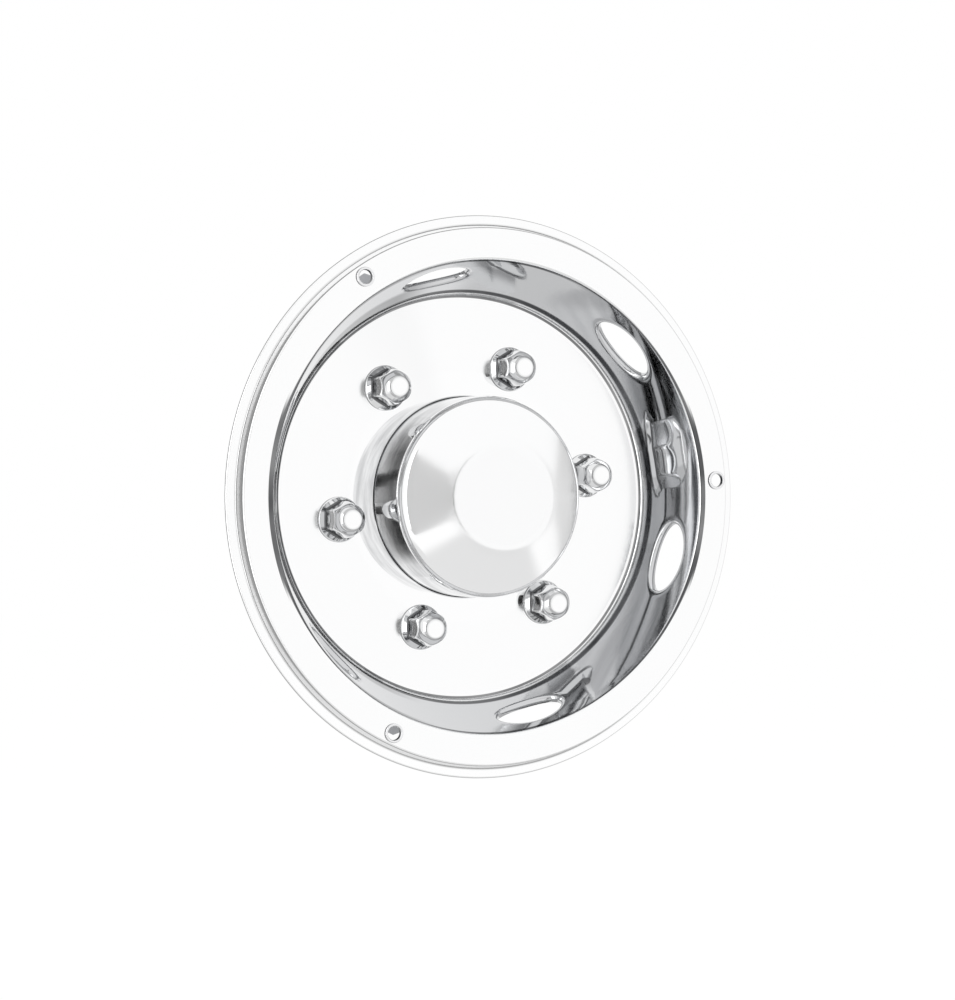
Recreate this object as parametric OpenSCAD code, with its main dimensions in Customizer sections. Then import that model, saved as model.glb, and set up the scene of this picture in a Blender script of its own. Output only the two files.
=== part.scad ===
// Wheel simulator for a 16 inch, six-lug truck wheel, in millimetres.
// A drawn stainless liner carries a hub cover and six nut covers. Three spring clips hold it in the rim.
// Each piece is drawn about its own Z axis with the bright side up, and on_wheel() then turns it,
// so that the wheel's axis lies level, the bright side faces -Y and +Z is up.
// The origin is on the axis, in the plane of the disc's back.

/* [Liner] */
// Outside diameter over the rolled lip
liner_d = 441.8; // [434:0.2:452]
// Thickness of the stainless sheet
sheet_t = 0.8; // [0.6:0.1:1.2]
// Depth of the dish, from the face of the flange to the face of the disc
dish_depth = 58.5; // [54:0.5:64]
// Slope of the dish's wall, in degrees from the wheel's axis
wall_slope = 22; // [18:0.5:24]
// Width of the flat flange between its two corners
flange_w = 23.8; // [23:0.1:27]
// Height of the step between the flange and the lip
step_h = 8; // [6:0.5:10]
// Radial run of that step
step_run = 2.9; // [2:0.1:4]
// Width of the lip outside the step
lip_w = 8; // [7:0.1:10]
// How far the lip falls back over its width
lip_fall = 1.2; // [0:0.1:2]
// Height of the rolled edge
roll_h = 3.6; // [3.4:0.1:5]
// Length of sheet turned back under the lip
roll_return = 4; // [3:0.1:5]

/* [Bends of the liner, on the bright side] */
// Bend between the flange and the wall
mouth_bend_r = 4; // [2:0.5:6]
// Bend between the wall and the disc
disc_bend_r = 6; // [3:0.5:10]
// Bend between the flange and the step
step_bend_r = 2.2; // [1.5:0.1:3]
// Bend at the foot of the step
foot_bend_r = 1.6; // [1:0.1:2]
// Bends of the rolled edge
roll_bend_r = 1.7; // [1.4:0.1:1.7]

/* [Hand holes] */
// Number of hand holes
hand_holes = 6; // [3:1:6]
// Angle of the first hand hole, from +X towards +Z
hand_hole_angle = 43.6; // [0:0.1:60]
// Length of the opening, round the wheel
hand_hole_l = 56; // [46:1:62]
// Width of the opening, up the wall
hand_hole_w = 26; // [20:1:28]
// Distance of the opening's middle down the wall, from the mouth
hand_hole_down = 27.4; // [26:0.2:31]
// Radius of the turned edge
hand_edge_r = 4; // [3:0.5:5]
// Straight collar behind the turned edge
hand_collar = 1.2; // [0.5:0.1:3]

/* [Hub cover] */
// Gap between the cover and the nut covers' skirts
hub_to_skirt = 12.625; // [11.8:0.025:16]
// How far the side draws in between the disc and the shoulder, on the radius
hub_draft = 1; // [0.5:0.1:4]
// Height of the shoulder above the disc
shoulder_h = 48.6; // [44:0.2:54]
// Diameter of the face, to its corner with the cone
face_d = 81; // [70:0.5:90]
// Height of the face above the disc
face_h = 71; // [66:0.5:76]
// Bend at the shoulder
shoulder_bend_r = 11; // [5:0.5:13]
// Bend between the cone and the face
face_bend_r = 15; // [6:1:22]
// Width of the rim behind the disc
hub_rim_w = 9.5; // [7:0.1:9.8]
// Gap round the cover in the disc
hub_gap = 1.3; // [1.2:0.1:2]
// Bend between the side and the rim, on the bright side
rim_bend_r = 1; // [0.8:0.1:1.1]

/* [Nut covers] */
// Diameter of the circle of wheel nuts
lug_pcd = 222.25; // [220:0.25:228]
// Number of wheel nuts
lugs = 6; // [3:1:6]
// Angle of the first nut cover, from +X towards +Z
lug_angle = 9.2; // [0:0.1:60]
// Width of the hexagon across its flats
hex_af = 25.4; // [24:0.1:27]
// Height of the cover above the disc
cover_h = 28.7; // [25:0.1:32]
// Wall of the cover
cover_wall = 1.2; // [1:0.1:1.5]
// Diameter of the flat on the front
cover_face_d = 14.8; // [12:0.2:16]
// Diameter of the skirt on the disc
skirt_d = 36; // [34:0.2:38]
// Height of the skirt's edge
skirt_edge_h = 1.4; // [1:0.1:2]
// Height of the skirt where it meets the hexagon
skirt_h = 4.8; // [4:0.1:6]
// Length of the tail behind the disc
tail_l = 5.5; // [4.5:0.1:7]
// Gap between the tail and its hole, on the radius
tail_gap = 0.25; // [0.15:0.05:0.4]

/* [Push-on rings behind the disc] */
// Outside diameter of the ring
ring_d = 35; // [34:0.2:36]
// Thickness of the spring steel
ring_t = 0.6; // [0.5:0.1:0.8]
// Number of teeth
ring_teeth = 10; // [8:1:12]
// Length of a tooth
tooth_l = 2; // [1.6:0.1:2.2]
// How far the teeth lean back
tooth_lean = 1.2; // [0.8:0.1:1.6]
// Gap between the teeth and the tail, on the radius
tooth_gap = 0.1; // [0.05:0.05:0.2]

/* [Rim clips and their eyelets] */
// Angle of the first clip, from +X towards +Z
clip_angle = 3.9; // [0:0.1:60]
// Distance of the eyelet's middle inside the flange's outer corner
eyelet_in = 9; // [9:0.1:10]
// Bore of the eyelet
eyelet_bore_d = 10.8; // [9:0.1:11]
// Wall of the eyelet
eyelet_t = 0.6; // [0.5:0.1:0.7]
// Diameter of the rolled head
eyelet_head_d = 15; // [14.4:0.1:15.2]
// Height of the rolled head
eyelet_head_h = 1.7; // [1.5:0.1:2.2]
// Gap round the barrel, on the radius
eyelet_gap = 0.1; // [0.05:0.05:0.2]
// Thickness of the clip's spring steel
clip_t = 1; // [0.8:0.1:1.2]
// Width of the clip
clip_w = 20; // [18:1:30]
// How far the clip reaches behind the flange
clip_drop = 32; // [26:1:36]

/* [Hidden] */
// Number of clips, one for each hole in the flange
clips = 3;

// Degrees of turn for each flat of a drawn bend
bend_step = 10;
// How far a cut runs past the face that it leaves
past = 1;
$fn = 96;

// Radii and heights of the liner's corners, from the rolled lip inwards
lip_r = liner_d / 2;
foot_r = lip_r - lip_w;
flange_r = foot_r - step_run;
mouth_r = flange_r - flange_w;
disc_r = mouth_r - dish_depth * tan(wall_slope);
flange_z = sheet_t + dish_depth;
foot_z = flange_z - step_h;
lip_z = foot_z - lip_fall;
lug_r = lug_pcd / 2;
hub_r = lug_r - skirt_d / 2 - hub_to_skirt;
shoulder_r = hub_r - hub_draft;
disc_hole_r = hub_r + hub_gap;

// The nut covers' tails take the corners of the covers' own hexagons
function across_corners(af) = af / cos(30);
hollow_af = hex_af - 2 * cover_wall;
hex_r = across_corners(hex_af) / 2;
hollow_r = across_corners(hollow_af) / 2;
// The tail's bore runs just clear of the hollow's corners
tail_bore_r = hollow_r + 0.1;
tail_r = hex_r;

eyelet_r = flange_r - eyelet_in;
barrel_r = eyelet_bore_d / 2 + eyelet_t;

// A vector's own direction, and that direction turned a quarter turn to the right
function unit(v) = v / norm(v);
function to_right(v) = [v.y, -v.x];
function turned(v, a) = [v.x * cos(a) - v.y * sin(a), v.x * sin(a) + v.y * cos(a)];

// Points of a round bend of radius r at the corner b of the path a, b, c
function bend(a, b, c, r) =
    let (
        into = unit(b - a),
        out = unit(c - b),
        turn = atan2(into.x * out.y - into.y * out.x, into * out),
        start = b - r * tan(abs(turn) / 2) * into,
        spoke = (turn > 0 ? r : -r) * to_right(into),
        steps = ceil(abs(turn) / bend_step)
    )
    [for (k = [0 : steps]) start - spoke + turned(spoke, turn * k / steps)];

// A path through the corners, each rounded by its own radius; 0 leaves it sharp
function rounded(corners, radii) = [
    for (i = [0 : len(corners) - 1])
        each radii[i] > 0 ? bend(corners[i - 1], corners[i], corners[i + 1], radii[i]) : [corners[i]]
];

// The same path, moved to its right by t, square to itself
function beside(path, t) = [
    for (i = [0 : len(path) - 1])
        let (
            last = len(path) - 1,
            into = unit(path[max(i, 1)] - path[max(i, 1) - 1]),
            out = unit(path[min(i, last - 1) + 1] - path[min(i, last - 1)]),
            mean = unit(into + out)
        )
        path[i] + t / (mean * out) * to_right(mean)
];
function reversed(list) = [for (i = [len(list) - 1 : -1 : 0]) list[i]];

// Section of a bent sheet of thickness t, whose bright side follows the path
module sheet_section(path, t) polygon(concat(path, reversed(beside(path, t))));
module spun_sheet(path, t) rotate_extrude($fn = 180) sheet_section(path, t);

module on_wheel() rotate([90, 0, 0]) children();
module at_lug(k) rotate(lug_angle + (k - 1) * 360 / lugs) translate([lug_r, 0, 0]) children();
module at_clip(k) rotate(clip_angle + (k - 1) * 360 / clips) translate([eyelet_r, 0, 0]) children();

// The wheel liner, drawn from one stainless sheet

liner_path = rounded(
    [
        [disc_hole_r, sheet_t],
        [disc_r, sheet_t],
        [mouth_r, flange_z],
        [flange_r, flange_z],
        [foot_r, foot_z],
        [lip_r, lip_z],
        [lip_r, lip_z - roll_h],
        [lip_r - roll_return, lip_z - roll_h]
    ],
    [0, disc_bend_r, mouth_bend_r, step_bend_r, foot_bend_r, roll_bend_r, roll_bend_r, 0]
);

// Point of the wall near a hand hole: u round the wheel, w down the slope, d behind the bright side
hand_hole_r = mouth_r - hand_hole_down * sin(wall_slope);
function wall_point(angle, u, w, d) =
    let (
        down = hand_hole_down + w,
        r = mouth_r - down * sin(wall_slope) + d * cos(wall_slope),
        z = flange_z - down * cos(wall_slope) - d * sin(wall_slope),
        a = angle + u / hand_hole_r * 180 / PI
    )
    [r * cos(a), r * sin(a), z];

// Rows of a hand hole's turned edge, each as [reach outside the opening, depth behind the bright side]
turned_edge_end = hand_edge_r + hand_collar;
turned_edge_mouth = concat(
    [[hand_edge_r + 0.9, -0.5]],
    [for (a = [12, 36, 62, 90]) [hand_edge_r * (1 - sin(a)), hand_edge_r * (1 - cos(a))]],
    [[0, turned_edge_end + past]]
);
turned_edge_back = concat(
    [[hand_edge_r + 0.6, sheet_t / 2]],
    [
        for (a = [15, 40, 65, 90])
            [hand_edge_r - (hand_edge_r - sheet_t) * sin(a), hand_edge_r - (hand_edge_r - sheet_t) * cos(a)]
    ],
    [[sheet_t, turned_edge_end]]
);
oval_sides = 40;

// Closed solid through the wall: oval rings from the bright side backwards, each end closed by a fan
module oval_plug(angle, rows) {
    rings = len(rows);
    tip = rings * oval_sides;
    function at(ring, side) = ring * oval_sides + side % oval_sides;
    points = concat(
        [
            for (row = rows, side = [0 : oval_sides - 1])
                let (a = 360 * side / oval_sides)
                wall_point(angle, (hand_hole_l / 2 + row[0]) * cos(a), (hand_hole_w / 2 + row[0]) * sin(a), row[1])
        ],
        [for (row = [rows[0], rows[rings - 1]]) wall_point(angle, 0, 0, row[1])]
    );
    faces = [
        for (side = [0 : oval_sides - 1])
            each concat(
                [[tip, at(0, side + 1), at(0, side)]],
                [[tip + 1, at(rings - 1, side), at(rings - 1, side + 1)]],
                [for (ring = [0 : rings - 2]) [at(ring, side), at(ring, side + 1), at(ring + 1, side + 1)]],
                [for (ring = [0 : rings - 2]) [at(ring, side), at(ring + 1, side + 1), at(ring + 1, side)]]
            )
    ];
    polyhedron(points, faces);
}
module at_hand_holes(rows) {
    for (k = [0 : hand_holes - 1])
        oval_plug(hand_hole_angle + k * 360 / hand_holes, rows);
}

module wheel_liner() {
    color("gainsboro") on_wheel() difference() {
        union() {
            spun_sheet(liner_path, sheet_t);
            at_hand_holes(turned_edge_back);
        }
        at_hand_holes(turned_edge_mouth);
        for (k = [1 : lugs])
            at_lug(k) translate([0, 0, -past]) cylinder(r = tail_r + tail_gap, h = sheet_t + 2 * past);
        for (k = [1 : clips])
            at_clip(k) translate([0, 0, dish_depth - past]) cylinder(r = barrel_r + eyelet_gap, h = sheet_t + 2 * past);
    }
}

// The hub cover, one deep-drawn cup whose rim lies flat behind the disc

hub_path = rounded(
    [
        [0, sheet_t + face_h],
        [face_d / 2, sheet_t + face_h],
        [shoulder_r, sheet_t + shoulder_h],
        [hub_r, 0],
        [hub_r + hub_rim_w, 0]
    ],
    [0, face_bend_r, shoulder_bend_r, rim_bend_r, 0]
);
module hub_cover() {
    color("silver") on_wheel() spun_sheet(hub_path, sheet_t);
}

// A nut cover: hexagon with a domed front, round skirt on the disc, round tail through it

// Heights and radii of the dome, from the flat on the front down to the hexagon's corners
dome_run = hex_r - cover_face_d / 2;
function dome_path(shrink) = rounded(
    [
        [0, cover_h - shrink],
        [cover_face_d / 2 - shrink / 2, cover_h - shrink],
        [cover_face_d / 2 + 0.74 * dome_run - shrink, cover_h - 0.66 * dome_run - shrink],
        [hex_r + 0.6 - shrink, cover_h - 1.7 * dome_run - shrink],
        [hex_r + 0.6 - shrink, 0]
    ],
    [0, 1.4, 7, 4, 0]
);
module hexagon(af, h) rotate(30) cylinder(r = across_corners(af) / 2, h = h, $fn = 6);
module domed_hexagon(af, shrink) {
    intersection() {
        hexagon(af, cover_h);
        rotate_extrude() polygon(concat([[0, 0]], dome_path(shrink)));
    }
}
skirt_path = rounded(
    [
        [0, 0],
        [skirt_d / 2, 0],
        [skirt_d / 2, skirt_edge_h],
        [hex_r - 1.2, skirt_h],
        [0, skirt_h]
    ],
    [0, 0, 0.8, 0, 0]
);
module lug_nut_cover(k) {
    color("silver") on_wheel() at_lug(k) rotate(-lug_angle - (k - 1) * 360 / lugs) {
        difference() {
            union() {
                translate([0, 0, sheet_t]) domed_hexagon(hex_af, 0);
                translate([0, 0, sheet_t]) rotate_extrude() polygon(skirt_path);
                translate([0, 0, -tail_l]) cylinder(r = tail_r, h = tail_l + sheet_t + skirt_edge_h);
            }
            translate([0, 0, sheet_t]) domed_hexagon(hollow_af, cover_wall);
            translate([0, 0, -tail_l - past]) cylinder(r = tail_bore_r, h = tail_l + past + sheet_t + skirt_edge_h);
        }
    }
}

// A push-on ring: a flat band whose inner teeth lean back along the tail

tooth_tip_r = tail_r + tooth_gap;
ring_path = [
    [tooth_tip_r, -tooth_lean],
    [tooth_tip_r + tooth_l, 0],
    [ring_d / 2, 0]
];
tooth_slot_w = 1.2;
module nut_cover_retainer(k) {
    color("dimgray") on_wheel() at_lug(k) difference() {
        rotate_extrude() sheet_section(ring_path, ring_t);
        for (i = [1 : ring_teeth])
            rotate(i * 360 / ring_teeth)
                translate([0, -tooth_slot_w / 2, -tooth_lean - 2 * ring_t])
                    cube([tooth_tip_r + tooth_l, tooth_slot_w, tooth_lean + 2 * ring_t + past]);
    }
}

// A rim clip: a foot under the flange, a leg out to the knee that snaps in the rim, and a turned-in tip

clip_inner = -8.6;
clip_knee = -1.2;
clip_foot_path = rounded(
    [
        [7.2, dish_depth],
        [clip_inner, dish_depth],
        [clip_knee, dish_depth - 0.7 * clip_drop],
        [clip_knee - 6, dish_depth - clip_drop]
    ],
    [0, 2.5, 2.5, 0]
);
module rim_clip(k) {
    color("slategray") on_wheel() at_clip(k) difference() {
        rotate([90, 0, 0]) translate([0, 0, -clip_w / 2])
            linear_extrude(clip_w) sheet_section(clip_foot_path, -clip_t);
        translate([0, 0, dish_depth - clip_t - past]) cylinder(r = barrel_r + eyelet_gap, h = clip_t + 2 * past);
    }
}

// An eyelet: a rolled head on the flange, a barrel, and a flat rim set behind the clip

eyelet_back_z = dish_depth - clip_t - eyelet_t;
eyelet_path = rounded(
    [
        [barrel_r + 1.6, eyelet_back_z],
        [eyelet_bore_d / 2, eyelet_back_z],
        [eyelet_bore_d / 2, flange_z + eyelet_head_h],
        [eyelet_head_d / 2, flange_z + eyelet_head_h],
        [eyelet_head_d / 2, flange_z]
    ],
    [0, 0, 1.1, 0.95, 0]
);
module clip_eyelet(k) {
    color("lightgray") on_wheel() at_clip(k) rotate_extrude() sheet_section(eyelet_path, eyelet_t);
}

wheel_liner();
hub_cover();
for (k = [1 : lugs])
    lug_nut_cover(k);
for (k = [1 : lugs])
    nut_cover_retainer(k);
for (k = [1 : clips])
    rim_clip(k);
for (k = [1 : clips])
    clip_eyelet(k);
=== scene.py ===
import math

import bmesh
import bpy
import numpy as np
from mathutils import Matrix, Vector


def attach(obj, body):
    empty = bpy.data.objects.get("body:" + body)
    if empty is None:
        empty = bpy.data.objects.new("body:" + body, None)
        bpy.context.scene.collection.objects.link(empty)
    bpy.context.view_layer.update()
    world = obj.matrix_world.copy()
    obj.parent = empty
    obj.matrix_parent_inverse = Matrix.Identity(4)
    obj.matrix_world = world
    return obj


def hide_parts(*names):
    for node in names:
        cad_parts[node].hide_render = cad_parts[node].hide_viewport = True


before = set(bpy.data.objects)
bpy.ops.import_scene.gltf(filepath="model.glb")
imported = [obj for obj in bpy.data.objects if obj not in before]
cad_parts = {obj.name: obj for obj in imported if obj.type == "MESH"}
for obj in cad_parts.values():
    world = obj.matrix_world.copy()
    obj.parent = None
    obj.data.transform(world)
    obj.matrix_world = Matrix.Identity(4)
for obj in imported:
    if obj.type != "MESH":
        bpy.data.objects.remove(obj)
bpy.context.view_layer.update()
scene = bpy.context.scene

# Camera
# It stands level with the wheel's axis, 26 degrees round to the left, and looks along the floor.
eye = Vector((-0.7460, -1.5620, -0.0025))
looking = Vector((0.4362, 0.8998, 0.0)).normalized()
rightwards = looking.cross(Vector((0, 0, 1)))
lens = bpy.data.cameras.new("camera")
lens.lens, lens.sensor_width, lens.sensor_fit = 77.3, 36.0, "AUTO"
lens.clip_end = 50.0
camera = bpy.data.objects.new("camera", lens)
camera.matrix_world = (
    Matrix.Translation(eye) @ Matrix((rightwards, Vector((0, 0, 1)), -looking)).transposed().to_4x4()
)
scene.collection.objects.link(camera)
scene.camera = camera

# Wheel liner
# One round of polished stainless sheet, drawn into a dish with a flat disc and a flat flange. Its lip is
# stepped back and rolled, and six oval hand holes are pierced through the wall with their edges turned in.
MM = 0.001
column = 1.5  # degrees from one column of the mesh to the next
sheet, dish_depth, slope = 0.8, 58.5, math.radians(22)
liner_r, lip_w, lip_fall, roll_h, roll_return = 441.8 / 2, 8.0, 1.2, 3.6, 4.0
step_run, step_h, flange_w = 2.9, 8.0, 23.8
disc_bend, mouth_bend, step_bend, foot_bend, roll_bend = 6.0, 4.0, 2.2, 1.6, 1.7
disc_top, flange_top = sheet, sheet + dish_depth
foot_top = flange_top - step_h
lip_top = foot_top - lip_fall
flange_edge = liner_r - lip_w - step_run
mouth = flange_edge - flange_w
disc_edge = mouth - dish_depth * math.tan(slope)
hub_side, hub_gap = 161 / 2, 1.3
hub_hole = hub_side + hub_gap
nut_circle, nut_first, nut_hole = 222.25 / 2, 9.2, 14.91
clip_circle, clip_first, clip_hole = flange_edge - 9, 3.9, 6.1
hand_first, hand_down, hand_half = 43.6, 27.4, (28.0, 13.0)
hand_bend, hand_collar = 4.0, 1.2


def drawn(corners, bends, step=4.0, edge=0.35):
    """A path through the corners with a round bend at each: the bend's centre lies on the corner's
    bisector, and its points turn about it in equal steps. Each straight has a point a little way in from
    both its ends."""
    corners = np.asarray(corners, float)
    rows = [corners[:1]]
    for a, b, c, r in zip(corners[:-2], corners[1:-1], corners[2:], bends[1:-1]):
        into, out = (b - a) / np.linalg.norm(b - a), (c - b) / np.linalg.norm(c - b)
        turn = math.atan2(into[0] * out[1] - into[1] * out[0], into @ out)
        start = b - r * math.tan(abs(turn) / 2) * into
        spoke = math.copysign(r, turn) * np.array([into[1], -into[0]])
        angles = np.linspace(0, turn, max(3, math.ceil(abs(math.degrees(turn)) / step)) + 1)[:, None]
        arc = start - spoke + np.cos(angles) * spoke + np.sin(angles) * np.array([-spoke[1], spoke[0]])
        rows.append(arc)
    rows.append(corners[-1:])
    path = [rows[0]]
    for before, after in zip(rows[:-1], rows[1:]):
        p, q = before[-1], after[0]
        run = np.linalg.norm(q - p)
        if run > 3 * edge:
            inset = edge * (q - p) / run
            path.append(np.array([p + inset, q - inset]))
        path.append(after)
    return np.vstack(path)


def spun(path, angles, twist=None):
    """A grid of points: the path's (radius, height) turned to each angle about the wheel's axis, so that
    x = r cos a, y = -height, z = r sin a. The twist turns each row of the path by its own angle."""
    a = np.radians(angles)[None, :] + (0 if twist is None else np.radians(twist)[:, None])
    r, h = path[:, :1], path[:, 1:]
    return np.stack([r * np.cos(a), -h + 0 * a, r * np.sin(a)], -1)


def ring_faces(rows, columns, closed):
    """Quads between neighbouring rows and columns of a grid; closed joins the last column to the first."""
    across = columns if closed else columns - 1
    i, j = np.meshgrid(np.arange(rows - 1), np.arange(across), indexing="ij")
    k = (j + 1) % columns
    quads = np.stack([i * columns + j, i * columns + k, (i + 1) * columns + k, (i + 1) * columns + j], -1)
    return quads.reshape(-1, 4)


def sheet_metal(name, grids, thickness, bright, material, body="root", sharp=32.0, merge=2e-6):
    """One mesh from several grids, each (points in mm, closed round or not), merged where they meet.
    bright is a point in mm: the face nearest to it looks forwards (-Y), and the rest agree with it.
    The thickness goes on behind the bright side, and the attribute "back" is 1 there."""
    points, faces, start = [], [], 0
    for grid, closed in grids:
        points.append(grid.reshape(-1, 3))
        faces.append(ring_faces(grid.shape[0], grid.shape[1], closed) + start)
        start += grid.shape[0] * grid.shape[1]
    mesh = bpy.data.meshes.new(name)
    mesh.from_pydata(np.vstack(points) * MM, [], np.vstack(faces).tolist())
    work = bmesh.new()
    work.from_mesh(mesh)
    bmesh.ops.remove_doubles(work, verts=work.verts, dist=merge)
    bmesh.ops.dissolve_degenerate(work, dist=merge, edges=work.edges)
    bmesh.ops.recalc_face_normals(work, faces=work.faces)
    here = Vector(bright) * MM
    nearest = min(work.faces, key=lambda face: (face.calc_center_median() - here).length_squared)
    if nearest.normal.y > 0:
        bmesh.ops.reverse_faces(work, faces=work.faces)
    work.to_mesh(mesh)
    work.free()
    piece = bpy.data.objects.new(name, mesh)
    scene.collection.objects.link(piece)
    if thickness:
        wall = piece.modifiers.new("sheet", "SOLIDIFY")
        wall.thickness, wall.offset, wall.use_even_offset = thickness * MM, -1.0, True
        bpy.context.view_layer.update()
        made = bpy.data.meshes.new_from_object(piece.evaluated_get(bpy.context.evaluated_depsgraph_get()))
        piece.modifiers.clear()
        piece.data = made
        made.name = name
        back = np.arange(len(made.vertices)) >= len(mesh.vertices)
        made.attributes.new("back", "FLOAT", "POINT").data.foreach_set("value", back.astype(np.float32))
    piece.data.shade_smooth()
    piece.data.set_sharp_from_angle(angle=math.radians(sharp))
    piece.data.materials.clear()
    piece.data.materials.append(material)
    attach(piece, body)
    return piece


def cell_turns(reach):
    """Angles in degrees from -reach to reach, as far apart as the mesh's columns."""
    return np.arange(-reach, reach + 0.5, column)


def cell_edge(along, half, sides):
    """Points (u, w) once round the edge of a four-sided cell, and the angle of each on the oval that just
    fits into it. along is the places u on its long edges, at w = half and -half, and sides the number of
    steps up either end."""
    w = np.linspace(-half, half, sides + 1)[1:-1]
    lines = [(along, half), (along[-1], w[::-1]), (along[::-1], -half), (along[0], w)]
    edge = np.vstack([np.stack(np.broadcast_arrays(*line), -1) for line in lines])
    return edge, np.arctan2(edge[:, 1] / half, edge[:, 0] / along[-1])


def between(a, b, rows, crowd=1.0):
    """Rows of points that run straight from the row a to the row b, and crowd towards b where crowd is
    below 1."""
    share = (np.linspace(0, 1, rows) ** crowd)[:, None, None]
    return a * (1 - share) + b * share


def about(circle, angle, r, turned, height):
    """Points at the radius r and the angle turned (in radians) about an axis of their own, which stands at
    the angle (in degrees) on a circle round the wheel's axis. height is in front of the disc's back."""
    a = math.radians(angle)
    x = circle * math.cos(a) + r * np.cos(turned)
    z = circle * math.sin(a) + r * np.sin(turned)
    return np.stack(np.broadcast_arrays(x, -height, z), -1)


def holed(circle, angle, hole, height, reach, ring, sides, rows):
    """A flat cell with a round hole: its edge follows the ring's two circles and runs reach degrees to
    either side of the hole, and its rows go straight from there to the hole's edge."""
    edge, turn = cell_edge(cell_turns(reach), (ring[1] - ring[0]) / 2, sides)
    r, a = sum(ring) / 2 + edge[:, 1], np.radians(angle + edge[:, 0])
    outer = np.stack([r * np.cos(a), np.full(len(a), -height), r * np.sin(a)], -1)
    inner = about(circle, angle, hole, math.radians(angle + 90) - turn, height)
    return between(outer, inner, rows)


def node_material(name, color, metallic, roughness):
    """A new material with its Principled shader's plain sockets set, and its node tree to add to."""
    material = bpy.data.materials.new(name)
    material.use_nodes = True
    shader = material.node_tree.nodes["Principled BSDF"]
    shader.inputs["Base Color"].default_value = (*color, 1)
    shader.inputs["Metallic"].default_value = metallic
    shader.inputs["Roughness"].default_value = roughness
    return material, material.node_tree, shader


def math_node(tree, operation, a, b=None, c=None, clamp=False):
    """A Math node on values or sockets."""
    node = tree.nodes.new("ShaderNodeMath")
    node.operation, node.use_clamp = operation, clamp
    for socket, value in zip(node.inputs, (a, b, c)):
        if value is None:
            continue
        if isinstance(value, (int, float)):
            socket.default_value = value
        else:
            tree.links.new(value, socket)
    return node.outputs[0]


def wheel_place(tree):
    """Sockets of the distance from the wheel's axis and of the height in front of the disc's back, in
    metres, and the texture coordinate itself."""
    place = tree.nodes.new("ShaderNodeTexCoord").outputs["Object"]
    split = tree.nodes.new("ShaderNodeSeparateXYZ")
    tree.links.new(place, split.inputs[0])
    x, y, z = split.outputs
    radius = math_node(tree, "SQRT", math_node(tree, "ADD", product(tree, x, x), product(tree, z, z)))
    return radius, math_node(tree, "MULTIPLY", y, -1.0), place


def smooth_step(tree, value, low, high, start=0.0, end=1.0):
    """value carried from start at low to end at high, smoothly."""
    node = tree.nodes.new("ShaderNodeMapRange")
    node.interpolation_type = "SMOOTHERSTEP"
    tree.links.new(value, node.inputs["Value"])
    node.inputs["From Min"].default_value, node.inputs["From Max"].default_value = low, high
    node.inputs["To Min"].default_value, node.inputs["To Max"].default_value = start, end
    return node.outputs["Result"]


def noise(tree, vector, scale, detail=2.0, rough=0.5, dimensions="3D"):
    node = tree.nodes.new("ShaderNodeTexNoise")
    node.noise_dimensions = dimensions
    node.inputs["Scale"].default_value = scale
    node.inputs["Detail"].default_value = detail
    node.inputs["Roughness"].default_value = rough
    tree.links.new(vector, node.inputs["W" if dimensions == "1D" else "Vector"])
    return node.outputs["Fac"]


def bump(tree, shader, height, distance, strength):
    node = tree.nodes.new("ShaderNodeBump")
    node.inputs["Distance"].default_value = distance
    node.inputs["Strength"].default_value = strength
    tree.links.new(height, node.inputs["Height"])
    tree.links.new(node.outputs[0], shader.inputs["Normal"])


def mix_color(tree, share, a, b):
    """a where the share is 0 and b where it is 1, each of them a colour or a socket."""
    node = tree.nodes.new("ShaderNodeMix")
    node.data_type = "RGBA"
    tree.links.new(share, node.inputs[0])
    for socket, color in zip(node.inputs[6:8], (a, b)):
        if isinstance(color, tuple):
            socket.default_value = (*color, 1)
        else:
            tree.links.new(color, socket)
    return node.outputs[2]


def product(tree, a, b):
    return math_node(tree, "MULTIPLY", a, b)


def highest(tree, *values):
    """The largest of several values."""
    most = values[0]
    for value in values[1:]:
        most = math_node(tree, "MAXIMUM", most, value)
    return most


def round_noise(tree, place, radius, turns, rise, detail=2.0):
    """Noise that runs round the wheel's axis without a seam: it reads the direction (x, z) / radius times
    turns, and the height times rise."""
    direction = tree.nodes.new("ShaderNodeVectorMath")
    direction.operation = "DIVIDE"
    whole = tree.nodes.new("ShaderNodeCombineXYZ")
    tree.links.new(radius, whole.inputs[0])
    whole.inputs[1].default_value = 1.0
    tree.links.new(radius, whole.inputs[2])
    tree.links.new(place, direction.inputs[0])
    tree.links.new(whole.outputs[0], direction.inputs[1])
    scaled = tree.nodes.new("ShaderNodeVectorMath")
    scaled.operation = "MULTIPLY"
    scaled.inputs[1].default_value = (turns, rise, turns)
    tree.links.new(direction.outputs[0], scaled.inputs[0])
    return noise(tree, scaled.outputs[0], 1.0, detail)


def band(tree, value, low, high, soft):
    """1 where value lies between low and high, falling to 0 over soft on either side."""
    rise, fall = smooth_step(tree, value, low - soft, low), smooth_step(tree, value, high + soft, high)
    return product(tree, rise, fall)


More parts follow.
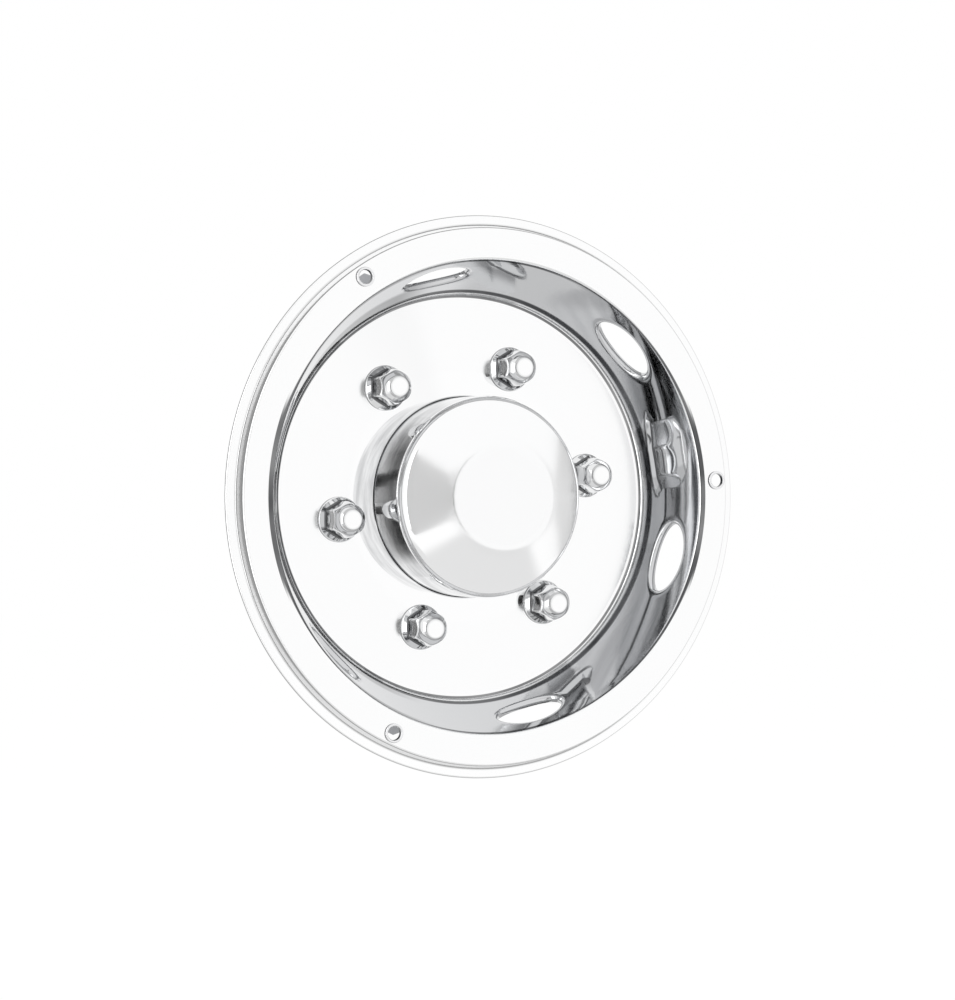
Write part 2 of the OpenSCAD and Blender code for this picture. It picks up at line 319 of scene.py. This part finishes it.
def steel_faces(tree, shader, place, color, soft):
    """The bright side takes the colour and roughness given, and the sheet's back the mill's dull rolled
    finish, with fine lines that run one way across the whole sheet."""
    back = tree.nodes.new("ShaderNodeAttribute")
    back.attribute_name = "back"
    rolled = tree.nodes.new("ShaderNodeMapping")
    rolled.inputs["Scale"].default_value = (30.0, 30.0, 900.0)
    tree.links.new(place, rolled.inputs["Vector"])
    lines = noise(tree, rolled.outputs[0], 1.0, 3.0, 0.6)
    dull = mix_color(tree, lines, (0.50, 0.505, 0.515), (0.66, 0.665, 0.67))
    tree.links.new(mix_color(tree, back.outputs["Fac"], color, dull), shader.inputs["Base Color"])
    rough = tree.nodes.new("ShaderNodeMix")
    tree.links.new(back.outputs["Fac"], rough.inputs[0])
    tree.links.new(soft, rough.inputs[2])
    tree.links.new(math_node(tree, "MULTIPLY_ADD", lines, 0.16, 0.24), rough.inputs[3])
    tree.links.new(rough.outputs[0], shader.inputs["Roughness"])


# The flat faces are buffed soft and white, and the wall between them is mirror bright; its colour is
# painted a little greyer, as painted shade for the darker reflections the wall shows.
# Fine dark lines in the bends and on the lip are painted reflections, put into the colour.
# A near-black colour, painted in wherever a dark line of painted shade or painted reflection is drawn
PAINTED_DARK = (0.03, 0.032, 0.036)
liner_finish, tree, shader = node_material("polished_stainless", (0.9, 0.9, 0.9), 1.0, 0.1)
radius, height, place = wheel_place(tree)
off_disc = smooth_step(tree, height, 0.0030, 0.0075)
off_flange = smooth_step(tree, height, 0.0593, 0.0560)
on_wall = product(tree, product(tree, off_disc, off_flange), smooth_step(tree, radius, 0.196, 0.192))
# The wall's greyer colour is painted shade, standing in for the darker reflections in the wall.
steel = mix_color(tree, on_wall, (0.985, 0.986, 0.988), (0.66, 0.665, 0.675))
inside = smooth_step(tree, radius, 0.1875, 0.1868)
by_mouth = smooth_step(tree, radius, 0.1903, 0.1900)
outside = smooth_step(tree, radius, 0.2080, 0.2086)
# Towards the top and the bottom the painted lines in the two bends lie a little deeper in the dish. On the
# left (x below 0) they are broader, and the wall's foot is painted darker, most of all at the upper left:
# painted reflections and shade by side
split = tree.nodes.new("ShaderNodeSeparateXYZ")
tree.links.new(place, split.inputs[0])
across, upright = (math_node(tree, "DIVIDE", split.outputs[axis], radius) for axis in (0, 2))
leftward = smooth_step(tree, across, -0.20, -0.55)
not_right = smooth_step(tree, across, 0.60, 0.20)
upper_left = product(tree, smooth_step(tree, across, -0.15, -0.45), smooth_step(tree, upright, 0.40, 0.60))
deeper = math_node(tree, "MULTIPLY_ADD", product(tree, upright, upright), 0.0026, height)
# Each mark is a painted dark line, a painted reflection or painted shade in a bend or on the lip
marks = []
for value, share, low, high, soft, where in (
    (height, 0.80, 0.00120, 0.00210, 0.00015, inside),
    (deeper, 0.95, 0.00850, 0.01120, 0.00220, inside),
    (deeper, 0.50, 0.01000, 0.01700, 0.00600, product(tree, inside, leftward)),
    (deeper, 0.60, 0.01000, 0.02300, 0.00900, product(tree, inside, upper_left)),
    (deeper, 0.92, 0.05850, 0.05950, 0.00030, by_mouth),
    (deeper, 0.80, 0.05740, 0.05900, 0.00040, product(tree, by_mouth, not_right)),
    (deeper, 0.60, 0.05500, 0.05750, 0.00120, product(tree, by_mouth, leftward)),
    (height, 0.25, 0.05130, 0.05190, 0.00030, outside),
    (height, 0.15, 0.05760, 0.05830, 0.00040, outside),
):
    marks.append(product(tree, product(tree, band(tree, value, low, high, soft), where), share))
# Noise round the wheel that makes the painted lines stronger and fainter in turn
painted_line_breakup = math_node(tree, "MULTIPLY_ADD", round_noise(tree, place, radius, 3.0, 20.0), 0.7, 0.6, clamp=True)
steel = mix_color(tree, product(tree, highest(tree, *marks), painted_line_breakup), steel, PAINTED_DARK)
polish = noise(tree, radius, 2600, 3.0, 0.7, "1D")
cloud = noise(tree, place, 22.0, 3.0)
by_hub = smooth_step(tree, radius, 0.104, 0.098)
soft = math_node(tree, "MULTIPLY_ADD", highest(tree, on_wall, by_hub), -0.09, 0.10)
soft = math_node(tree, "MULTIPLY_ADD", math_node(tree, "ADD", polish, cloud), 0.03, soft)
steel_faces(tree, shader, place, steel, soft)
bump(tree, shader, noise(tree, place, 9.0, 2.0), 0.0006, 0.25)

liner_corners = [
    (hub_hole, disc_top),
    (disc_edge, disc_top),
    (mouth, flange_top),
    (flange_edge, flange_top),
    (liner_r - lip_w, foot_top),
    (liner_r, lip_top),
    (liner_r, lip_top - roll_h),
    (liner_r - roll_return, lip_top - roll_h),
]
liner_bends = [0, disc_bend, mouth_bend, step_bend, foot_bend, roll_bend, roll_bend, 0]
liner_path = drawn(liner_corners, liner_bends, step=6.0)

# Each kind of hole has a ring of the sheet to itself. A cell reaches so many degrees to either side of its
# hole, and on the wall it rises so many mm above and below the hole's middle
nut_band, nut_reach = (90.0, 132.0), 30.0
hand_rise, hand_reach = 22.0, 30.0
clip_band, clip_reach = (clip_circle - 8.4, clip_circle + 7.2), 6.0
hand_r = mouth - hand_down * math.sin(slope)


def on_wall_point(u, w, depth, angle):
    """The point of the conical wall u round the wheel and w up the slope from a hand hole's middle,
    and depth behind the wall's face."""
    down = hand_down - w
    r = mouth - down * math.sin(slope) + depth * math.cos(slope)
    h = flange_top - down * math.cos(slope) - depth * math.sin(slope)
    a = math.radians(angle) + u / hand_r
    return np.stack(np.broadcast_arrays(r * np.cos(a), -h, r * np.sin(a)), -1)


def wall_at(down):
    """Radius and height of the wall's face, down the slope from the mouth."""
    return np.array([mouth - down * math.sin(slope), flange_top - down * math.cos(slope)])


def part_of(path, low, high):
    """The rows of the path from the point low to the point high, both put in as ends."""
    travel = np.r_[0, np.cumsum(np.linalg.norm(np.diff(path, axis=0), axis=1))]

    def along(point):
        d = path[1:] - path[:-1]
        t = np.clip(((point - path[:-1]) * d).sum(1) / (d * d).sum(1), 0, 1)
        near = np.argmin(np.linalg.norm(path[:-1] + t[:, None] * d - point, axis=1))
        return travel[near] + t[near] * np.linalg.norm(d[near])

    s0, s1 = along(low), along(high)
    inner = path[(travel > s0 + 0.05) & (travel < s1 - 0.05)]
    return np.vstack([low, inner, high])


def drift(path, end, turn):
    """The part of the turn that each row has taken, from none at the path's first radius to all at end."""
    return np.clip((path[:, 0] - path[0, 0]) / (end - path[0, 0]), 0, 1) * (turn % column)


whole_turn = np.arange(0, 360, column)
hand_angles = [hand_first + 60 * k for k in range(6)]
nut_angles = [nut_first + 60 * k for k in range(6)]
clip_angles = [clip_first + 120 * k for k in range(3)]

# Disc, out from the hub's hole to the nut holes' band, and a cell round each nut hole
inner_disc = np.array([(r, disc_top) for r in np.linspace(hub_hole, nut_band[0], 5)])
grids = [(spun(inner_disc, nut_first + whole_turn), True)]
for angle in nut_angles:
    grids.append((holed(nut_circle, angle, nut_hole, disc_top, nut_reach, nut_band, 24, 6), True))

# From the nut holes' band round the disc's bend and up the wall to the hand holes' band
strip = part_of(liner_path, np.array([nut_band[1], disc_top]), wall_at(hand_down + hand_rise))
strip = np.vstack([strip[:1], strip[:2].mean(0), strip[1:]])
twist = drift(strip, strip[2, 0], hand_first - nut_first)
grids.append((spun(strip, nut_first + whole_turn, twist), True))

# The hand holes' band: a cell round each, then its turned edge and collar
edge, turn = cell_edge(np.radians(cell_turns(hand_reach)) * hand_r, hand_rise, 28)
oval = np.column_stack([np.cos(turn), np.sin(turn)])
face = between(edge, oval * (np.array(hand_half) + hand_bend), 12, 0.8)
bend = np.radians(np.linspace(0, 90, 10))
reach = np.r_[hand_bend * (1 - np.sin(bend)), 0, 0]
depth = np.r_[hand_bend * (1 - np.cos(bend)), hand_bend + hand_collar / 2, hand_bend + hand_collar]
turned_in = oval * (np.array(hand_half) + reach[:, None, None])
for angle in hand_angles:
    grids.append((on_wall_point(face[..., 0], face[..., 1], 0, angle), True))
    grids.append((on_wall_point(turned_in[..., 0], turned_in[..., 1], depth[:, None], angle), True))

# Round the mouth's bend to the clip holes' band
strip = part_of(liner_path, wall_at(hand_down - hand_rise), np.array([clip_band[0], flange_top]))
twist = drift(strip, clip_band[0], clip_first - hand_first)
grids.append((spun(strip, hand_first + whole_turn, twist), True))

# The clip holes' band: three short cells and the plain arcs between them
for angle in clip_angles:
    grids.append((holed(clip_circle, angle, clip_hole, flange_top, clip_reach, clip_band, 10, 5), True))
    arc = np.array([(r, flange_top) for r in np.linspace(*clip_band, 11)])
    grids.append((spun(arc, angle + 60 + cell_turns(60 - clip_reach)), False))

# Over the step, along the lip and round its rolled edge
strip = part_of(liner_path, np.array([clip_band[1], flange_top]), liner_path[-1])
grids.append((spun(strip, clip_first + whole_turn), True))

liner = sheet_metal("liner", grids, sheet, (sum(nut_band) / 2, -disc_top, 0), liner_finish)
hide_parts("wheel_liner")

# Hub cover
# A deep stainless cup, drawn in one piece and polished, with a plain round face on a shallow cone. Its flat
# rim lies behind the disc, where it is spot-welded, and its side comes up through the disc's middle hole.
hub_shoulder, hub_face, hub_rim = (159 / 2, 48.6), (81 / 2, 71.0), 9.5
hub_corners = [
    (0, sheet + hub_face[1]),
    (hub_face[0], sheet + hub_face[1]),
    (hub_shoulder[0], sheet + hub_shoulder[1]),
    (hub_side, 0),
    (hub_side + hub_rim, 0),
]
cover_finish, tree, shader = node_material("mirror_stainless", (0.9, 0.9, 0.9), 1.0, 0.05)
radius, height, place = wheel_place(tree)
on_face = smooth_step(tree, height, 0.0655, 0.0712)
on_side = smooth_step(tree, height, 0.0455, 0.0425)
# The hub's side is painted in streaks from near white to mid grey: painted reflections, standing in for
# what the mirror-bright side shows
streaks = round_noise(tree, place, radius, 2.2, 90.0, 3.0)
shade = math_node(tree, "MULTIPLY_ADD", streaks, 2.2, -0.6, clamp=True)
side_painted_streaks = mix_color(tree, shade, (0.95, 0.953, 0.957), (0.48, 0.485, 0.495))
steel = mix_color(tree, on_side, (0.975, 0.977, 0.98), side_painted_streaks)
# A dark band is painted at the hub's foot, where it comes up through the disc's hole: painted shade in the
# gap
steel = mix_color(tree, product(tree, band(tree, height, 0.0006, 0.0016, 0.0004), 0.9), steel, PAINTED_DARK)
cloud = noise(tree, place, 30.0, 3.0)
ring_marks = noise(tree, radius, 3000, 3.0, 0.7, "1D")
soft = math_node(tree, "MULTIPLY_ADD", on_face, 0.11, 0.035)
soft = math_node(tree, "ADD", soft, smooth_step(tree, height, 0.0510, 0.0560, 0.0, 0.05))
soft = math_node(tree, "MULTIPLY_ADD", math_node(tree, "ADD", cloud, ring_marks), 0.02, soft)
steel_faces(tree, shader, place, steel, soft)
bump(tree, shader, noise(tree, place, 12.0, 2.0), 0.0005, 0.2)

hub_rows = drawn(hub_corners, [0, 15, 11, 1, 0], step=2.5)
hub_front = (0, -sheet - hub_face[1], 0)
hub = sheet_metal("hub", [(spun(hub_rows, whole_turn), True)], sheet, hub_front, cover_finish)
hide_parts("hub_cover")

# Nut covers
# Six chromed caps that hide the wheel's nuts. Each is a hexagon with a domed front, on a round skirt, and
# its tail goes through the disc. One corner of each hexagon points straight up.
hex_flat, cap_height, cap_wall, cap_front = 25.4 / 2, 28.7, 1.2, 14.8 / 2
skirt_r, skirt_edge, skirt_top, tail, bore = 18.0, 1.4, 4.8, 5.5, 13.38
hex_corner = hex_flat / math.cos(math.radians(30))
cap_finish, tree, shader = node_material("nut_chrome", (0.86, 0.865, 0.87), 1.0, 0.04)
radius, height, place = wheel_place(tree)
# The front face is painted near white and the rest of the cap greyer: one chrome in a lit and a shaded
# copy, a painted highlight on the front
on_front = smooth_step(tree, height, 0.0291, 0.0294)
chrome = mix_color(tree, on_front, (0.84, 0.845, 0.85), (0.985, 0.986, 0.988))
# Dark lines are painted where the hexagon meets the skirt and at the skirt's foot on the disc, as painted
# shade in these creases; a faint painted reflection rings the front's edge; and the flats are painted
# darker towards the skirt, as painted shade
skirt_line = product(tree, band(tree, height, 0.0050, 0.0057, 0.0004), 0.85)
foot_line = product(tree, band(tree, height, 0.0, 0.0013, 0.0009), 0.75)
front_line = product(tree, band(tree, height, 0.0280, 0.0288, 0.0003), 0.35)
over_skirt = smooth_step(tree, height, 0.0050, 0.0060)
flank_shade = product(tree, smooth_step(tree, height, 0.0170, 0.0060, 0.0, 0.60), over_skirt)
chrome = mix_color(tree, highest(tree, skirt_line, foot_line, front_line, flank_shade), chrome, PAINTED_DARK)
tree.links.new(chrome, shader.inputs["Base Color"])
soft = math_node(tree, "MULTIPLY_ADD", noise(tree, place, 180.0, 3.0), 0.05, 0.02)
tree.links.new(soft, shader.inputs["Roughness"])
bump(tree, shader, noise(tree, place, 60.0, 2.0), 0.0002, 0.15)


def hexagon(a, flat, crisp=46.0):
    """Radius of a hexagon with rounded corners at each angle: the p-norm of its six flats' distances."""
    flats = np.radians(np.arange(6) * 60.0)
    reach = np.maximum(np.cos(a[..., None] - flats), 1e-6) / flat
    return (reach**crisp).sum(-1) ** (-1 / crisp)


def domed_skin(a, tilt, flat, drop, middle):
    """Radius and height of the cap's skin in the direction tilt from its axis, seen from a middle point:
    the p-norm of the distances to the flat front, two cones and the hexagon."""
    front_crisp, cone_crisp, dome_crisp, side_crisp = 40, 26, 34, 44
    run = hex_corner - cap_front
    corners = [
        (cap_front - drop / 2, cap_height - drop),
        (cap_front + 0.74 * run - drop, cap_height - 0.66 * run - drop),
        (hex_corner + 0.6 - drop, cap_height - 1.7 * run - drop),
    ]
    corners = np.array(corners) - (0, middle)
    up, out = np.cos(tilt), np.sin(tilt)
    front = np.maximum(up, 1e-6) / corners[0, 1]
    cones = []
    for p, q in zip(corners[:-1], corners[1:]):
        normal = np.array([p[1] - q[1], q[0] - p[0]])
        cones.append(np.maximum(normal[0] * out + normal[1] * up, 1e-6) / (normal @ p))
    dome = np.maximum.reduce([front, *cones])
    total = (front / dome) ** front_crisp + sum((cone / dome) ** cone_crisp for cone in cones)
    dome = total ** (1 / dome_crisp) * dome
    side = out / hexagon(a, flat)
    most = np.maximum(dome, side)
    both = ((dome / most) ** side_crisp + (side / most) ** side_crisp) ** (1 / side_crisp) * most
    return out / both, middle + up / both


def cap_rows(a):
    """Radius and height of a nut cover's whole skin, from the middle of its front out, down the hexagon,
    over the skirt and the tail, and back up inside to the middle of the hollow."""
    middle, fillet, sunk, skirt_round, tail_round, tail_end = 8.0, 0.7, 0.2, 0.5, 0.2, -tail - sheet
    rows = []

    def add(r, h):
        rows.append(np.broadcast_arrays(r, h, a)[:2])

    for t in np.radians(np.concatenate([np.linspace(0, 60, 46), np.linspace(61.5, 94, 16)])):
        add(*domed_skin(a, t, hex_flat, 0.0, middle))
    six = hexagon(a, hex_flat)
    for b in np.radians([0, 22, 45, 68, 90]):
        add(six + fillet * (1 - math.cos(b)), skirt_top + fillet * (1 - math.sin(b)) - sunk)
    for share in (0.15, 0.5, 0.85):
        r = six + fillet + share * (skirt_r - skirt_round - six - fillet)
        add(r, skirt_top - sunk - share * (skirt_top - sunk - skirt_edge))
    for b in np.radians([90, 60, 30, 0]):
        add(skirt_r + skirt_round * (math.cos(b) - 1), skirt_edge + skirt_round * (math.sin(b) - 1))
    for r, h in (
        (skirt_r, 0.1),
        (skirt_r, 0.0),
        (hex_corner, 0.0),
        (hex_corner, tail_end + tail_round),
        (hex_corner - tail_round, tail_end),
        (bore + tail_round, tail_end),
        (bore, tail_end + tail_round),
        (bore, skirt_edge),
    ):
        add(r, h)
    hollow = hex_flat - cap_wall
    add(hexagon(a, hollow), skirt_edge)
    for t in np.radians(np.concatenate([np.linspace(90, 60, 6), np.linspace(52, 0, 12)])):
        add(*domed_skin(a, t, hollow, cap_wall, middle))
    return np.array(rows).transpose(1, 0, 2)


turns = np.radians(np.arange(0, 360, 3.0))
cap_r, cap_h = cap_rows(turns)
for k, angle in enumerate(nut_angles, 1):
    grid = about(nut_circle, angle, cap_r, turns, cap_h + sheet)
    front = about(nut_circle, angle, 0, 0, cap_height + sheet)
    cap = sheet_metal(f"nut_cap_{k}", [(grid, True)], 0, front, cap_finish, sharp=38.0)
    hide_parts(f"lug_nut_cover_{k}")

# Clip eyelets
# Three nickelled eyelets, set through the flange and the clips behind it. The head is rolled over on the
# bright side, and the barrel's back edge is pressed flat behind the clip.
eyelet_bore, eyelet_wall, eyelet_flare, head_r, head_h = 5.4, 0.6, 1.6, 7.5, 1.7
clip_t = 1.0
back = flange_top - sheet - clip_t - eyelet_wall
eyelet_rows = drawn(
    [
        (eyelet_bore + eyelet_wall + eyelet_flare, back),
        (eyelet_bore, back),
        (eyelet_bore, flange_top + head_h),
        (head_r, flange_top + head_h),
        (head_r, flange_top),
    ],
    [0, 0.5, 1.0, 0.95, 0],
    step=9.0,
    edge=0.1,
)
eyelet_finish, tree, shader = node_material("eyelet_nickel", (0.86, 0.86, 0.87), 1.0, 0.12)
radius, height, place = wheel_place(tree)
# The bore is painted near black below the head: painted shade inside the hollow barrel
in_bore = smooth_step(tree, height, 0.0604, 0.0599)
nickel = mix_color(tree, in_bore, (0.86, 0.86, 0.87), (0.06, 0.062, 0.066))
tree.links.new(nickel, shader.inputs["Base Color"])
soft = math_node(tree, "MULTIPLY_ADD", noise(tree, place, 300.0, 3.0), 0.12, 0.04)
tree.links.new(soft, shader.inputs["Roughness"])
around = np.radians(np.arange(0, 360, 5.0))
for k, angle in enumerate(clip_angles, 1):
    grid = about(clip_circle, angle, eyelet_rows[:, :1], around, eyelet_rows[:, 1:])
    head = about(clip_circle, angle, 6.4, 0, flange_top + head_h)
    eyelet = sheet_metal(f"eyelet_{k}", [(grid, True)], eyelet_wall, head, eyelet_finish, merge=1e-7)
    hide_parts(f"clip_eyelet_{k}")

# Spring clips and push-on rings
# Both are stamped from grey spring steel and sit behind the liner. The clips grip the rim, and each ring's
# teeth bite on the tail of a nut cover.
spring_finish, tree, shader = node_material("spring_steel", (0.42, 0.43, 0.45), 1.0, 0.35)
place = tree.nodes.new("ShaderNodeTexCoord").outputs["Object"]
grain = noise(tree, place, 500.0, 4.0, 0.6)
tree.links.new(mix_color(tree, grain, (0.36, 0.37, 0.39), (0.52, 0.53, 0.55)), shader.inputs["Base Color"])
tree.links.new(math_node(tree, "MULTIPLY_ADD", grain, 0.25, 0.24), shader.inputs["Roughness"])
bump(tree, shader, grain, 0.0001, 0.2)
clip_half, clip_end, clip_bend, clip_knee, clip_toe, clip_drop = 10.0, 7.2, -8.6, -1.2, -7.2, 32.0
clip_top = flange_top - sheet
clip_corners = [
    (clip_end, clip_top),
    (clip_bend, clip_top),
    (clip_knee, clip_top - 0.7 * clip_drop),
    (clip_toe, clip_top - clip_drop),
]
clip_path = drawn(clip_corners, [0, 2.5, 2.5, 0], step=6.0)


def clip_place(x, w, h, angle):
    """A point x outwards from the eyelet's middle, w round the wheel and h in front of the disc's back."""
    a = math.radians(angle)
    r = clip_circle + x
    points = r * math.cos(a) - w * math.sin(a), -h, r * math.sin(a) + w * math.cos(a)
    return np.stack(np.broadcast_arrays(*points), -1)


# The foot's flat runs to just inside its bend, so that the eyelet's hole lies whole in the first cell
cut = np.flatnonzero(clip_path[:, 0] < clip_bend + 2.0)[0]
foot, leg = clip_path[: cut + 1], clip_path[cut:]
clip_steps = 14
edge, _ = cell_edge(np.linspace(clip_end, foot[-1, 0], 13), clip_half, clip_steps)
turn = np.arctan2(edge[:, 1], edge[:, 0])
plan = between(edge, clip_hole * np.column_stack([np.cos(turn), np.sin(turn)]), 7)
foot_height = np.interp(plan[..., 0], foot[::-1, 0], foot[::-1, 1])
across = np.linspace(-clip_half, clip_half, clip_steps + 1)
for k, angle in enumerate(clip_angles, 1):
    cells = [
        (clip_place(plan[..., 0], plan[..., 1], foot_height, angle), True),
        (clip_place(leg[:, :1], across, leg[:, 1:], angle), False),
    ]
    clip = sheet_metal(f"clip_{k}", cells, clip_t, clip_place(6.8, 0.0, clip_top, angle), spring_finish)
    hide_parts(f"rim_clip_{k}")

ring_out, ring_t, teeth = 17.5, 0.6, 10
tooth_tip, tooth_root, tooth_lean, slot_half = hex_corner + 0.1, hex_corner + 2.1, 1.2, 0.6
tooth_turn = 2 * math.pi / teeth
tooth_r = np.linspace(tooth_root, tooth_tip, 5)[:, None]
tooth_h = -tooth_lean * (tooth_root - tooth_r) / (tooth_root - tooth_tip)
lean = np.arcsin(slot_half / tooth_r)
spread = lean + np.linspace(0, 1, 9) * (tooth_turn - 2 * lean)
starts = tooth_turn * np.arange(teeth)
rim = np.concatenate([[start, *(start + spread[0])] for start in starts])
band_r = np.linspace(tooth_root, ring_out, 3)[:, None]
for k, angle in enumerate(nut_angles, 1):
    cells = [(about(nut_circle, angle, tooth_r, start + spread, tooth_h), False) for start in starts]
    cells.append((about(nut_circle, angle, band_r, rim, 0.0), True))
    ring = sheet_metal(f"push_ring_{k}", cells, ring_t, about(nut_circle, angle, 17.2, 0, 0), spring_finish)
    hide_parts(f"nut_cover_retainer_{k}")

# Studio
# The wheel hangs in a white tent over a pale floor. Grey and black boards outside the camera's view give
# the polished metal something dark to show.
def plain(name, color, strength=None):
    """A stage material: matt where strength is None, or else a flat glow of that strength."""
    material = bpy.data.materials.new(name)
    material.use_nodes = True
    tree = material.node_tree
    tree.nodes.clear()
    out = tree.nodes.new("ShaderNodeOutputMaterial")
    node = tree.nodes.new("ShaderNodeBsdfDiffuse" if strength is None else "ShaderNodeEmission")
    node.inputs["Color"].default_value = (*color, 1)
    if strength is not None:
        node.inputs["Strength"].default_value = strength
    tree.links.new(node.outputs[0], out.inputs["Surface"])
    return material, tree, node, out


def seen_white(tree):
    """1 for the rays of the camera, of gloss and of glass, and 0 for the rest."""
    path = tree.nodes.new("ShaderNodeLightPath").outputs
    return highest(tree, path["Is Camera Ray"], path["Is Glossy Ray"], path["Is Transmission Ray"])


def board(name, points, faces, tones):
    """A board that only reflections see, glowing with each point's own tone."""
    mesh = bpy.data.meshes.new(name)
    mesh.from_pydata(points, [], faces)
    mesh.attributes.new("tone", "FLOAT", "POINT").data.foreach_set("value", np.asarray(tones, np.float32))
    material, tree, glow, _ = plain(name, (1, 1, 1), 1.0)
    tone = tree.nodes.new("ShaderNodeAttribute")
    tone.attribute_name = "tone"
    tree.links.new(tone.outputs["Fac"], glow.inputs["Strength"])
    mesh.materials.append(material)
    piece = bpy.data.objects.new(name, mesh)
    scene.collection.objects.link(piece)
    piece.visible_camera = piece.visible_diffuse = piece.visible_shadow = False


def flat_board(name, turns, rises, distance, tone, start=(0.0, 0.0)):
    """An upright board that fills the turns (degrees round from -Y towards +X) and the rises (degrees up)
    as seen from the start (x, y), at a distance."""
    middle = math.radians(sum(turns) / 2)
    half = math.tan(math.radians(turns[1] - turns[0]) / 2) * distance
    ahead = Vector((math.sin(middle), -math.cos(middle), 0)) * distance + Vector((*start, 0))
    side = Vector((math.cos(middle), math.sin(middle), 0)) * half
    low, high = (Vector((0, 0, math.tan(math.radians(rise)) * distance)) for rise in rises)
    corners = [ahead - side + low, ahead + side + low, ahead + side + high, ahead - side + high]
    board(name, corners, [(0, 1, 2, 3)], [tone] * 4)


half, level = 12, -0.75
floor_mesh = bpy.data.meshes.new("floor")
corners = [(x * half, y * half, level) for x, y in ((-1, -1), (1, -1), (1, 1), (-1, 1))]
floor_mesh.from_pydata(corners, [], [(0, 1, 2, 3)])
floor = bpy.data.objects.new("floor", floor_mesh)
scene.collection.objects.link(floor)
material, tree, matt, out = plain("pale_floor", (0.8, 0.8, 0.8))
glow = tree.nodes.new("ShaderNodeEmission")
mix = tree.nodes.new("ShaderNodeMixShader")
tree.links.new(product(tree, seen_white(tree), 0.8), mix.inputs[0])
tree.links.new(matt.outputs[0], mix.inputs[1])
near = tree.nodes.new("ShaderNodeVectorMath")
near.operation = "LENGTH"
tree.links.new(tree.nodes.new("ShaderNodeTexCoord").outputs["Object"], near.inputs[0])
# Near the wheel the floor's glow is lower in reflections but not to the camera: a painted shadow, seen only
# in the metal
painted_shadow_pool = smooth_step(tree, near.outputs["Value"], 1.15, 1.45, 0.30, 0.0)
unseen = math_node(tree, "SUBTRACT", 1.0, tree.nodes.new("ShaderNodeLightPath").outputs["Is Camera Ray"])
strength = math_node(tree, "MULTIPLY_ADD", product(tree, painted_shadow_pool, unseen), -1.0, 1.10)
tree.links.new(strength, glow.inputs["Strength"])
tree.links.new(glow.outputs[0], mix.inputs[2])
tree.links.new(mix.outputs[0], out.inputs["Surface"])
floor_mesh.materials.append(material)

# Seen from the camera, a round upright side reflects the circle that a turns through at 2a. This board lies
# just outside that circle, so the hub's side shows it and the disc beside the hub doesn't.
a = np.radians(np.arange(-52, 53, 2.0))
arc_turns = [-42, -33, -26, -12, -4, 10, 26, 36, 48]
tones = np.interp(np.degrees(a), arc_turns, [0.9, 0.18, 0.01, 0.01, 0.18, 0.20, 0.10, 0.30, 0.9])
side_r, ahead = hub_side * MM, -1.3
arc = []
for reach in (0.627, 0.730):
    x = -side_r * np.cos(a) - reach * np.cos(2 * a)
    z = side_r * np.sin(a) + reach * np.sin(2 * a)
    arc.append(np.column_stack([x, np.full(len(a), ahead), z]))
board("hub_arc", np.vstack(arc), ring_faces(2, len(a), False).tolist(), np.tile(tones, 2))

# Round the wheel's edge runs a narrow dark hoop, which only the lip sees
hoop_turns = np.arange(0, 360, 5.0)
hoop = spun(np.array([(0.35, 0.085), (0.35, -0.05)]), hoop_turns)
tones = np.interp(hoop_turns, [0, 90, 180, 270, 360], [0.75, 0.35, 0.30, 0.45, 0.75])
board("lip_hoop", hoop.reshape(-1, 3), ring_faces(2, len(hoop_turns), True).tolist(), np.tile(tones, 2))

wall_right = (0.17, 0.0)
flat_board("wall_card", (-35.4, -33.4), (-3, 14), 1.28, 0.03, wall_right)
flat_board("wall_light", (-64, -49), (-20, 30), 1.25, 2.2, wall_right)
flat_board("left_card", (-50, -31), (-25, 32), 1.50, 0.62, (-0.06, -0.06))
# Two small black cards stand above and below the camera, where the corners between disc and nut covers look
flat_board("dark_card_high", (-27.6, -23.6), (5.4, 8.6), 1.75, 0.02)
flat_board("dark_card_low", (-27.6, -23.6), (-8.6, -4.6), 1.75, 0.02)

# The tent is full white to the camera and in reflections, and gives three quarters of that as light
world = bpy.data.worlds.new("tent")
scene.world = world
world.use_nodes = True
tree = world.node_tree
sky = tree.nodes["Background"]
sky.inputs["Color"].default_value = (1, 1, 1, 1)
tree.links.new(math_node(tree, "MULTIPLY_ADD", seen_white(tree), 0.25, 0.75), sky.inputs["Strength"])
for name, spot, size, power in (
    ("overhead_lamp", (0.3, -1.2, 2.2), 1.6, 18.0),
    ("left_lamp", (-2.2, -1.6, 0.9), 1.2, 8.0),
):
    lamp = bpy.data.lights.new(name, "AREA")
    lamp.shape, lamp.size, lamp.energy = "SQUARE", size, power
    holder = bpy.data.objects.new(name, lamp)
    holder.location = spot
    holder.rotation_euler = (Vector((0, 0, 0)) - Vector(spot)).to_track_quat("-Z", "Y").to_euler()
    holder.visible_camera = holder.visible_glossy = False
    scene.collection.objects.link(holder)

scene.view_settings.view_transform = "Standard"
